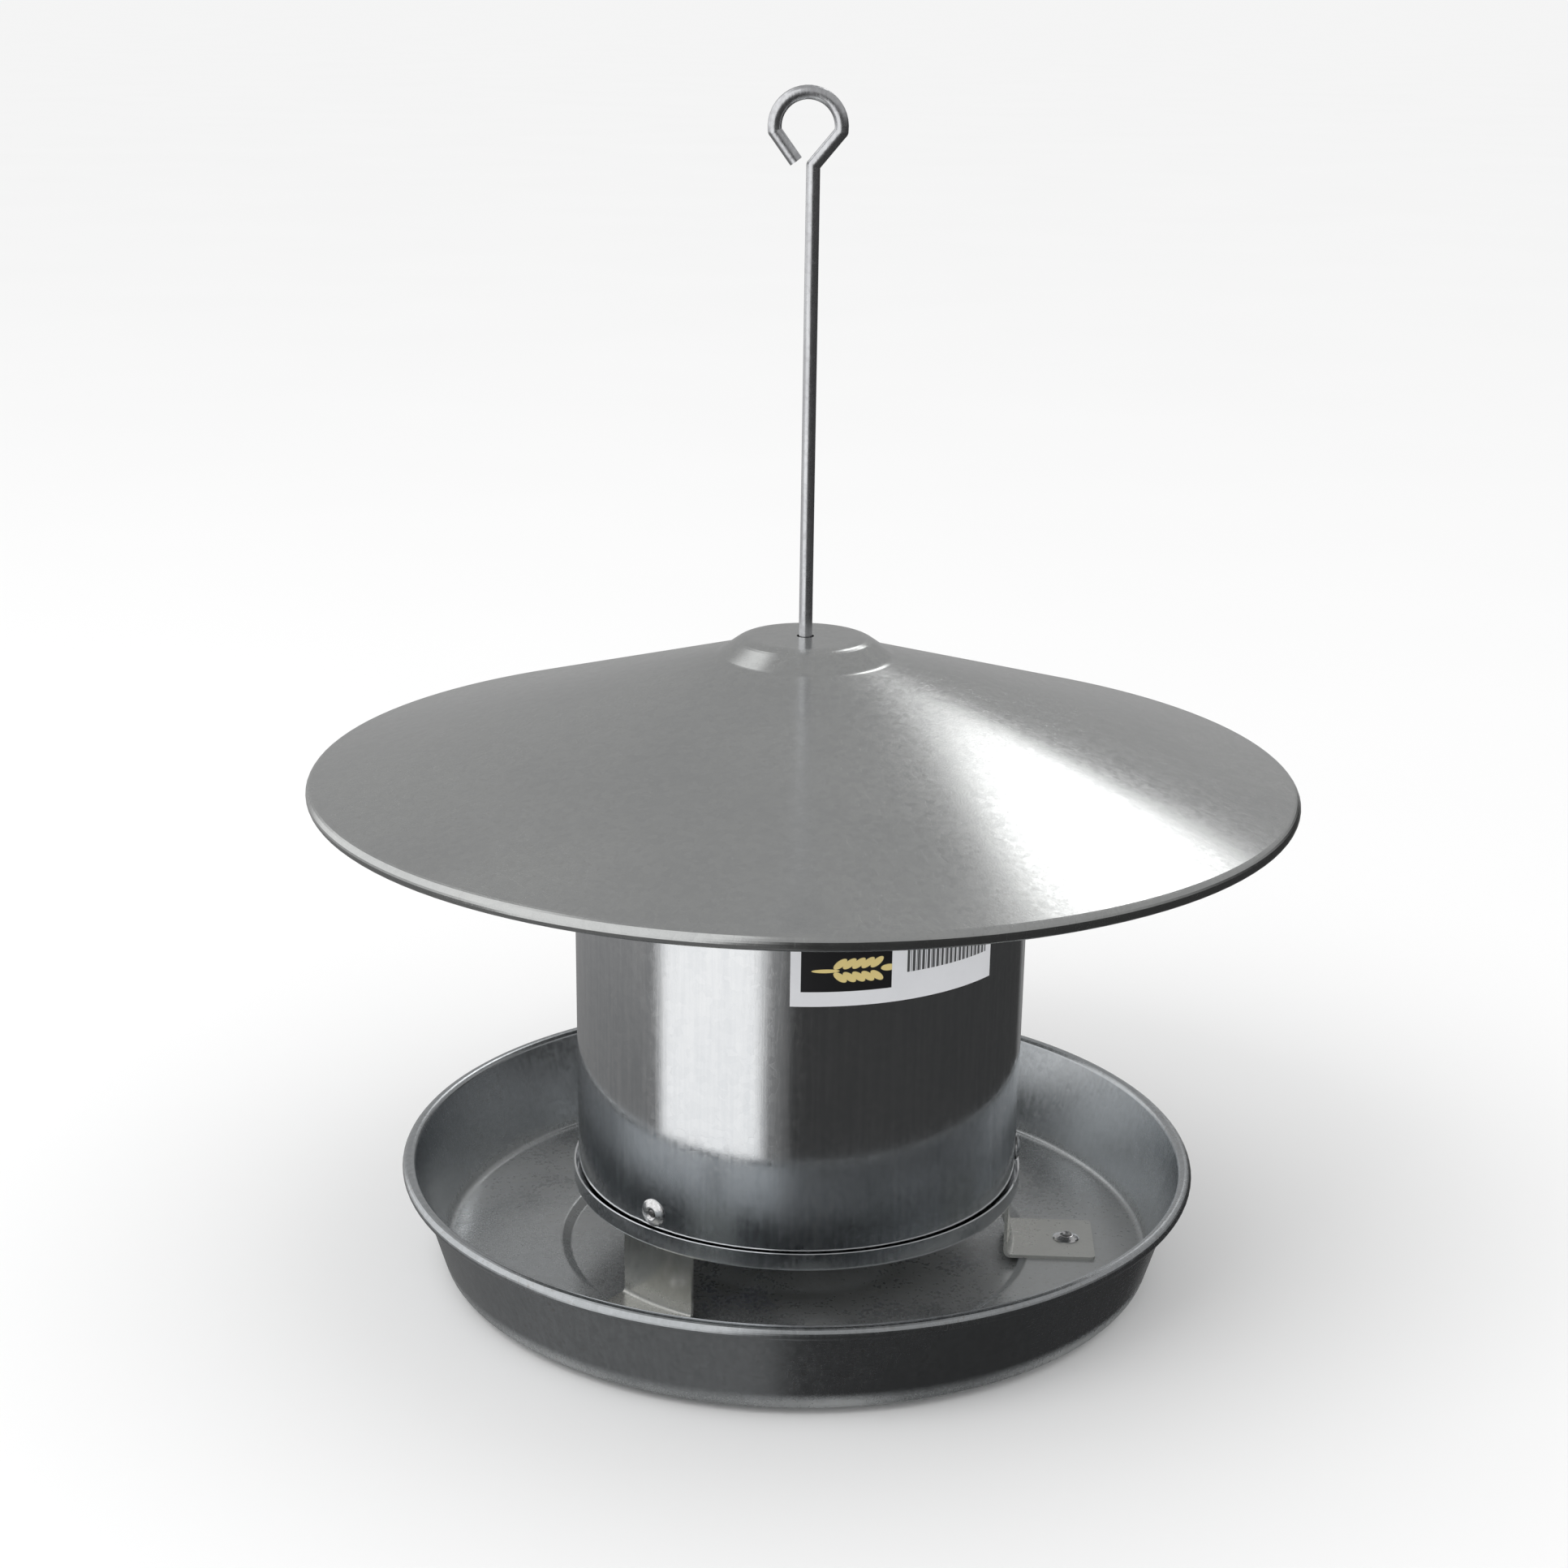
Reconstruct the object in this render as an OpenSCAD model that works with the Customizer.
// Hanging gravity feeder for poultry, in galvanised sheet steel.
// A feed tube (hopper) stands on three riveted legs in a round pan, and a loose cone lid
// slides on the rod that the feeder hangs by.
// Millimetres, +Z up. The origin is on the axis, in the plane that the pan stands on.

/* [Hopper] */
// Outside diameter of the hopper at its lower end
hopper_bottom_d = 137.2; // [100:0.1:200]
// Outside diameter of the hopper at its upper end
hopper_top_d = 139; // [100:0.1:210]
// Height of the hopper tube
hopper_len = 154; // [90:1:320]
// Sheet thickness of the hopper
hopper_t = 0.6; // [0.4:0.05:1]
// Height of the folded hem at each end
hem_h = 5.5; // [3:0.1:8]
// How far the hem stands out from the wall
hem_out = 1.5; // [1.4:0.05:2.5]
// Width of the lap seam up the hopper
seam_w = 9; // [5:0.5:15]
// How far the lap seam stands out
seam_out = 0.5; // [0.3:0.05:0.8]
// Direction of the lap seam round the hopper, in degrees
seam_angle = 56; // [40:1:75]

/* [Pan] */
// Width of the trough floor outside the hopper
trough_w = 42.3; // [34:0.1:80]
// How far the pan wall leans out from floor to rim
pan_flare = 12.4; // [6:0.1:20]
// Height of the pan at the top of its rim
pan_h = 33.8; // [24:0.1:60]
// Sheet thickness of the pan
pan_t = 0.7; // [0.5:0.05:1]
// Outside diameter of the rolled pan rim
pan_curl_d = 4.2; // [3.2:0.1:6]
// How far the sunk middle of the pan stands out below its floor
disc_drop = 2.2; // [1.8:0.1:4]
// Width of the sloping step round the sunk middle
disc_run = 3; // [2.5:0.1:6]
// How far the step's inner edge lies outside the legs
disc_margin = 3.5; // [2:0.1:6]
// Height of the raised cone in the middle of the pan
cone_h = 12; // [10:0.5:18]
// Diameter of the raised cone at its foot
cone_base_d = 76; // [60:1:90]
// Diameter of the flat top of the raised cone
cone_top_d = 22; // [16:1:30]
// Clear height between the pan floor and the hopper, where feed flows out
feed_gap = 21.3; // [15:0.1:35]

/* [Legs] */
// Direction of each leg round the axis, in degrees
leg_angles = [-2, -128, 116];
// Width of the strap that each leg is bent from
leg_w = 26.5; // [18:0.5:34]
// Thickness of the strap
leg_t = 1; // [0.8:0.1:1.6]
// Inside radius of the bend between leg and foot
leg_bend_r = 1.5; // [1:0.1:3]
// Length of the foot beyond the hopper's inner face
foot_l = 26.5; // [24:0.5:32]
// Corner radius at the end of the foot
foot_corner_r = 1.5; // [0.5:0.1:4]
// Height of the leg inside the hopper
leg_lap = 18; // [16:0.5:30]
// Distance of the foot rivet from the hopper's inner face
foot_rivet_out = 18; // [14:0.5:19]
// Height of the hopper rivet above the hopper's lower edge
hopper_rivet_up = 10.5; // [10.5:0.1:12]

/* [Lid] */
// Outside diameter of the lid
lid_d = 297; // [220:1:400]
// Slope of the lid, in degrees from the horizontal
lid_slope = 16.6; // [10:0.1:25]
// Sheet thickness of the lid
lid_t = 0.6; // [0.4:0.05:1]
// Outside diameter of the rolled lid rim
lid_curl_d = 5; // [3.5:0.1:7]
// Diameter of the flat top of the lid's boss
boss_top_d = 37; // [20:1:40]
// Diameter of the boss where it meets the cone
boss_base_d = 53; // [48:1:70]
// Height of the boss above the cone where the two meet
boss_rise = 5.6; // [3:0.1:8]

/* [Rod] */
// Diameter of the wire that the hanging rod is made of
rod_d = 4; // [3:0.5:5]
// Straight length of rod above the lid
rod_above_lid = 137; // [80:1:240]
// Diameter of the hanging eye, measured along the middle of the wire
eye_d = 19; // [16:0.5:30]
// How far the eye's centre sits to the side of the rod
eye_shift = 1.6; // [0:0.1:2.5]
// Height of the eye's sloping lower part
eye_neck = 10.7; // [9:0.1:14]
// Gap between the rod and the open end of the eye
eye_gap = 0.9; // [0.6:0.1:3]

/* [Fasteners] */
// Width across the flats of the rod nuts
nut_w = 7; // [6:0.5:10]
// Thickness of the rod nuts
nut_h = 3.2; // [2.4:0.1:4]
// Outside diameter of the rod washers
washer_d = 9; // [8:0.5:14]
// Thickness of the rod washers
washer_t = 0.8; // [0.5:0.1:1.2]
// Length of rod that stands out below the lower nut
thread_out = 1.5; // [0.5:0.1:2]
// Diameter of the blind rivets' shanks
rivet_d = 4; // [3.2:0.1:4.8]
// Diameter of the blind rivets' flanges
flange_d = 8.4; // [7:0.1:9.5]
// Height of the blind rivets' flanges
flange_h = 1.3; // [0.9:0.1:1.6]
// Diameter of the nail left inside each blind rivet
mandrel_d = 2.3; // [1.8:0.1:2.6]
// Length of a hopper rivet's tail inside the leg
hopper_tail = 3.2; // [2.6:0.1:5]

/* [Label] */
// Width of the label, measured round the hopper
label_w = 67; // [30:1:80]
// Height of the label
label_h = 34; // [15:1:60]
// Thickness of the label
label_t = 0.15; // [0.1:0.05:0.3]
// Thickness of the glue between the label and the hopper
label_glue = 0.05; // [0.04:0.01:0.1]
// Height of the label's lower edge above the hopper's lower edge
label_up = 82.5; // [30:0.5:85]
// Direction of the middle of the label round the axis, in degrees
label_angle = -64.5; // [-75:0.5:-40]

/* [Clearances] */
// Gap between the resting lid and the hopper
lid_seat_gap = 0.3; // [0.3:0.1:1]
// Radial gap between the rod and the lid's hole
lid_hole_gap = 0.6; // [0.4:0.1:1.5]
// Radial gap between the rod and the pan's hole
pan_hole_gap = 0.5; // [0.3:0.1:1]
// Gap between the pan and each rod washer, so that the rod can turn
swivel_gap = 0.3; // [0.3:0.1:0.6]
// Radial gap between the rod and its washers
washer_gap = 0.15; // [0.1:0.05:0.3]
// Gap between a foot rivet's tail and the plane that the pan stands on
ground_gap = 0.3; // [0.2:0.1:0.6]

/* [Hidden] */
$fn = 128;

galvanised = "#9aa0a3";
bright_zinc = "#b9bec2";
dark_zinc = "#84898c";
rivet_steel = "#c3c6c8";
label_white = "#eeeeea";

// Steps in each rounded corner of a sheet, and in each rolled rim
corner_steps = 6;
curl_steps = 20;
// How far a rolled rim turns, in degrees
curl_turn = 290;
// Bend radii along the middle of the sheet
fold_r = 0.7;
pan_corner_r = 2.4;
step_corner_r = 1.6;
cone_top_corner_r = 3;
cone_foot_corner_r = 8;
boss_top_corner_r = 8;
boss_foot_corner_r = 7;
// How far the eye's ring runs on below its widest points
eye_drop = 1.3;
// How much thicker the wire is at a knuckle
knuckle_over = 0.06;

// Heights
floor_top = disc_drop + pan_t;
hopper_z = floor_top + feed_gap;
hopper_top_z = hopper_z + hopper_len;
hopper_rivet_z = hopper_z + hopper_rivet_up;

// Radius of the hopper's outside at height z; the legs follow the same line below it
function hopper_r(z) =
    hopper_bottom_d / 2 + (hopper_top_d - hopper_bottom_d) / 2 * (z - hopper_z) / hopper_len;
function leg_face_r(z) = hopper_r(z) - hopper_t;

// Radii of the pan
pan_base_r = hopper_bottom_d / 2 + trough_w;
pan_rim_r = pan_base_r + pan_flare;
disc_r = leg_face_r(floor_top) + disc_margin;
foot_end_r = leg_face_r(floor_top) + foot_l;
foot_rivet_r = leg_face_r(floor_top) + foot_rivet_out;

// The lid's underside just clears the outer edge of the hopper's upper hem
seat_r = hopper_top_d / 2 + hem_out;
seat_z = hopper_top_z + lid_seat_gap;
// Height of the middle of the lid's sheet at radius r
function lid_z(r) = seat_z + lid_t / 2 / cos(lid_slope) - tan(lid_slope) * (r - seat_r);
boss_z = lid_z(boss_base_d / 2) + boss_rise;

// The stack of washers and nuts on the rod, below and above the pan's raised cone
lower_washer_z = cone_h - pan_t - swivel_gap - washer_t;
lower_nut_z = lower_washer_z - nut_h;
upper_washer_z = cone_h + swivel_gap;
upper_nut_z = upper_washer_z + washer_t;
rod_bottom_z = lower_nut_z - thread_out;
neck_z = boss_z + lid_t / 2 + rod_above_lid;

// Rivets: a foot rivet's tail stays above the plane that the pan stands on
foot_tail = disc_drop - ground_gap;
foot_grip = leg_t + pan_t;
// A flat rivet end on a round wall starts this far off the wall's nearest line
tail_sag = leg_face_r(hopper_rivet_z) - leg_t
    - sqrt(pow(leg_face_r(hopper_rivet_z) - leg_t, 2) - pow(rivet_d * 0.75, 2));
hopper_grip = hopper_t + leg_t + tail_sag;

function unit(v) = v / norm(v);
function flat(p) = [p[0], p[1]];
function part_arc(centre, r, from, to, steps) =
    [for (i = [0:steps]) let (a = from + (to - from) * i / steps) centre + r * [cos(a), sin(a)]];

// The arc that rounds corner b between a and c; the third number of b is its radius
function corner(a, b, c) =
    let (back = unit(flat(a) - flat(b)), ahead = unit(flat(c) - flat(b)), half = acos(back * ahead) / 2,
         centre = flat(b) + unit(back + ahead) * b[2] / sin(half),
         first = flat(b) + back * b[2] / tan(half) - centre,
         start = atan2(first[1], first[0]),
         sweep = (180 - 2 * half) * (cross(back, ahead) > 0 ? -1 : 1))
    part_arc(centre, b[2], start, start + sweep, corner_steps);

// A line through corner points [x, y, corner radius], each corner rounded
function rounded(points) = [
    for (i = [0:len(points) - 1])
        each (i == 0 || i == len(points) - 1 || points[i][2] == 0)
            ? [flat(points[i])]
            : corner(points[i - 1], points[i], points[i + 1])
];

// The line of a rolled edge: it leaves the point "from" as a tangent and rolls clockwise
function curl(from, centre, r) =
    let (d = centre - from, start = atan2(d[1], d[0]) + asin(r / norm(d)) + 90)
    part_arc(centre, r, start, start - curl_turn, curl_steps);

// The line of a sheet that is rounded at its corners and ends in a rolled edge
function rolled(points, centre, r) =
    let (roll = curl(flat(points[len(points) - 1]), centre, r))
    concat(rounded(concat(points, [[roll[0][0], roll[0][1], 0]])), [for (i = [1:curl_steps]) roll[i]]);

// One side of a line, moved sideways by d
function side(line, d) = [
    for (i = [0:len(line) - 1])
        let (last = len(line) - 1,
             before = unit(line[max(i, 1)] - line[max(i, 1) - 1]),
             after = unit(line[min(i + 1, last)] - line[min(i + 1, last) - 1]),
             lean = unit([-before[1] - after[1], before[0] + after[0]]))
        line[i] + lean * d / (lean * [-before[1], before[0]])
];

// Cross-section of a sheet of thickness t along a line
module sheet(line, t) {
    right = side(line, -t / 2);
    polygon(concat(side(line, t / 2), [for (i = [len(line) - 1:-1:0]) right[i]]));
}

// A sheet turned round the whole axis, or through part of it, centred on direction a
module turned_sheet(line, t) {
    rotate_extrude() sheet(line, t);
}
module turned_patch(line, t, a, width) {
    sweep = width / (line[0][0] * PI) * 180;
    rotate([0, 0, a - sweep / 2]) rotate_extrude(angle = sweep) sheet(line, t);
}

// Places of the rivets, for the rivets themselves and for the holes that they fill
module at_foot_rivet(a) {
    rotate([0, 0, a]) translate([foot_rivet_r, 0, floor_top + leg_t]) children();
}
module at_hopper_rivet(a) {
    rotate([0, 0, a]) translate([hopper_r(hopper_rivet_z), 0, hopper_rivet_z])
        rotate([0, 90, 0]) children();
}
module rivet_hole() {
    translate([0, 0, -10]) cylinder(h = 20, d = rivet_d);
}

module pan() {
    floor_z = disc_drop + pan_t / 2;
    line = rolled([
        [rod_d / 2 + pan_hole_gap, cone_h - pan_t / 2, 0],
        [cone_top_d / 2, cone_h - pan_t / 2, cone_top_corner_r],
        [cone_base_d / 2, pan_t / 2, cone_foot_corner_r],
        [disc_r, pan_t / 2, step_corner_r],
        [disc_r + disc_run, floor_z, step_corner_r],
        [pan_base_r - pan_t / 2, floor_z, pan_corner_r],
    ], [pan_rim_r - pan_curl_d / 2, pan_h - pan_curl_d / 2], (pan_curl_d - pan_t) / 2);
    color(galvanised) difference() {
        turned_sheet(line, pan_t);
        for (a = leg_angles) at_foot_rivet(a) rivet_hole();
    }
}

module hopper() {
    low_z = hopper_z + hopper_t / 2;
    high_z = hopper_top_z - hopper_t / 2;
    low_r = hopper_r(low_z) - hopper_t / 2;
    high_r = hopper_r(high_z) - hopper_t / 2;
    seam_low = hopper_z + hem_h + 1;
    seam_high = hopper_top_z - hem_h - 1;
    seam_sink = 0.1;
    seam_mid = (seam_out - seam_sink) / 2;
    line = rounded([
        [low_r + hem_out, hopper_z + hem_h, 0],
        [low_r + hem_out, low_z, fold_r],
        [low_r, low_z, fold_r],
        [high_r, high_z, fold_r],
        [high_r + hem_out, high_z, fold_r],
        [high_r + hem_out, hopper_top_z - hem_h, 0],
    ]);
    color(bright_zinc) difference() {
        union() {
            turned_sheet(line, hopper_t);
            turned_patch([
                [hopper_r(seam_low) + seam_mid, seam_low],
                [hopper_r(seam_high) + seam_mid, seam_high]
            ], seam_out + seam_sink, seam_angle, seam_w);
        }
        for (a = leg_angles) at_hopper_rivet(a) rivet_hole();
    }
}

// Plan of a leg: a strip with two rounded corners at the end of the foot
module strap_plan() {
    c = foot_corner_r;
    translate([0, -leg_w / 2]) square([foot_end_r - c, leg_w]);
    translate([0, -leg_w / 2 + c]) square([foot_end_r, leg_w - 2 * c]);
    for (s = [-1, 1]) translate([foot_end_r - c, s * (leg_w / 2 - c)]) circle(r = c);
}

module leg(a) {
    top_z = hopper_z + leg_lap;
    mid_z = floor_top + leg_t / 2;
    line = rounded([
        [leg_face_r(top_z) - leg_t / 2, top_z, 0],
        [leg_face_r(mid_z) - leg_t / 2, mid_z, leg_bend_r + leg_t / 2],
        [foot_end_r + leg_w, mid_z, 0],
    ]);
    color(dark_zinc) difference() {
        intersection() {
            turned_sheet(line, leg_t);
            rotate([0, 0, a]) linear_extrude(height = top_z + 1) strap_plan();
        }
        at_foot_rivet(a) rivet_hole();
        at_hopper_rivet(a) rivet_hole();
    }
}

// A set blind rivet, its flange above z = 0: a dished flange, a shank and a bulged tail
module rivet_body(grip, tail) {
    r = rivet_d / 2;
    bulge_r = r * 1.45;
    color(rivet_steel) rotate_extrude() polygon(concat(
        [[mandrel_d / 2, -grip - tail * 0.7], [mandrel_d / 2, flange_h * 0.35], [r * 0.92, flange_h * 0.94]],
        part_arc([r * 1.02, flange_h * 0.5], flange_h * 0.5, 90, 72, 2),
        [[flange_d / 2 - 0.35, flange_h * 0.42], [flange_d / 2, flange_h * 0.2], [flange_d / 2, 0], [r, 0], [r, -grip]],
        [[bulge_r * 0.9, -grip], [bulge_r, -grip - tail * 0.2], [bulge_r, -grip - tail * 0.4],
         [r, -grip - tail * 0.7]]
    ));
}

// The broken nail left in a blind rivet: a stub in the flange's dish and a round head below
module rivet_mandrel(grip, tail) {
    r = mandrel_d / 2;
    head_r = rivet_d * 0.46;
    head_z = -grip - tail * 0.7;
    color(dark_zinc) rotate_extrude() polygon([
        [0, -grip - tail], [head_r * 0.7, -grip - tail], [head_r, -grip - tail * 0.88], [head_r, head_z],
        [r, head_z], [r, flange_h * 0.6], [r * 0.6, flange_h * 0.82], [0, flange_h * 0.86]
    ]);
}

module hopper_rivet(a) { at_hopper_rivet(a) rivet_body(hopper_grip, hopper_tail); }
module foot_rivet(a) { at_foot_rivet(a) rivet_body(foot_grip, foot_tail); }
module hopper_mandrel(a) { at_hopper_rivet(a) rivet_mandrel(hopper_grip, hopper_tail); }
module foot_mandrel(a) { at_foot_rivet(a) rivet_mandrel(foot_grip, foot_tail); }

module label() {
    low = hopper_z + label_up;
    out = label_glue + label_t / 2;
    color(label_white) turned_patch([
        [hopper_r(low) + out, low],
        [hopper_r(low + label_h) + out, low + label_h]
    ], label_t, label_angle, label_w);
}

// A straight length of wire in the XZ plane, from point a to point b
module wire_between(a, b) {
    translate([a[0], 0, a[1]]) rotate([0, atan2(b[0] - a[0], b[1] - a[1]), 0])
        cylinder(h = norm(b - a), d = rod_d);
}

// The rod and its open eye: a ring of wire, two slanting lengths, and a round knuckle at each bend
module hanging_rod() {
    r = eye_d / 2;
    run_on = asin(eye_drop / r);
    side = r * cos(run_on);
    bend = [0, 0];
    right = [side - eye_shift, eye_neck - eye_drop];
    left = [-side - eye_shift, eye_neck - eye_drop];
    color(dark_zinc) {
        translate([0, 0, rod_bottom_z]) cylinder(h = neck_z - rod_bottom_z, d = rod_d);
        translate([0, 0, neck_z]) {
            translate([-eye_shift, 0, eye_neck]) rotate([90, 0, 0]) rotate([0, 0, -run_on])
                rotate_extrude(angle = 180 + 2 * run_on) translate([r, 0]) circle(d = rod_d);
            wire_between(bend, right);
            wire_between(left, [-rod_d - eye_gap, eye_neck * 0.1]);
            for (p = [bend, right, left]) translate([p[0], 0, p[1]]) sphere(d = rod_d + knuckle_over);
        }
    }
}

module nut(z) {
    flats_r = nut_w / 2;
    points_r = flats_r / cos(30);
    chamfer = (points_r - flats_r) * 0.7;
    color(rivet_steel) translate([0, 0, z]) difference() {
        intersection() {
            cylinder(h = nut_h, r = points_r, $fn = 6);
            rotate_extrude() polygon([
                [0, 0], [flats_r, 0], [points_r + 0.2, chamfer],
                [points_r + 0.2, nut_h - chamfer], [flats_r, nut_h], [0, nut_h]
            ]);
        }
        translate([0, 0, -1]) cylinder(h = nut_h + 2, d = rod_d);
    }
}

module washer(z) {
    color(bright_zinc) translate([0, 0, z]) difference() {
        cylinder(h = washer_t, d = washer_d);
        translate([0, 0, -1]) cylinder(h = washer_t + 2, r = rod_d / 2 + washer_gap);
    }
}

module lid() {
    roll_r = (lid_curl_d - lid_t) / 2;
    centre_r = lid_d / 2 - lid_curl_d / 2;
    roll_z = lid_z(centre_r + roll_r * sin(lid_slope)) - roll_r * cos(lid_slope);
    line = rolled([
        [rod_d / 2 + lid_hole_gap, boss_z, 0],
        [boss_top_d / 2, boss_z, boss_top_corner_r],
        [boss_base_d / 2, lid_z(boss_base_d / 2), boss_foot_corner_r],
        [seat_r, lid_z(seat_r), 0],
    ], [centre_r, roll_z], roll_r);
    color(galvanised) turned_sheet(line, lid_t);
}

pan();
hopper();
leg(leg_angles[0]);  // leg_right
leg(leg_angles[1]);  // leg_front_left
leg(leg_angles[2]);  // leg_back
hopper_rivet(leg_angles[0]);  // hopper_rivet_right
hopper_rivet(leg_angles[1]);  // hopper_rivet_front_left
hopper_rivet(leg_angles[2]);  // hopper_rivet_back
foot_rivet(leg_angles[0]);  // foot_rivet_right
foot_rivet(leg_angles[1]);  // foot_rivet_front_left
foot_rivet(leg_angles[2]);  // foot_rivet_back
hopper_mandrel(leg_angles[0]);  // hopper_mandrel_right
hopper_mandrel(leg_angles[1]);  // hopper_mandrel_front_left
hopper_mandrel(leg_angles[2]);  // hopper_mandrel_back
foot_mandrel(leg_angles[0]);  // foot_mandrel_right
foot_mandrel(leg_angles[1]);  // foot_mandrel_front_left
foot_mandrel(leg_angles[2]);  // foot_mandrel_back
label();
hanging_rod();
nut(upper_nut_z);  // upper_nut
nut(lower_nut_z);  // lower_nut
washer(upper_washer_z);  // upper_washer
washer(lower_washer_z);  // lower_washer
lid();
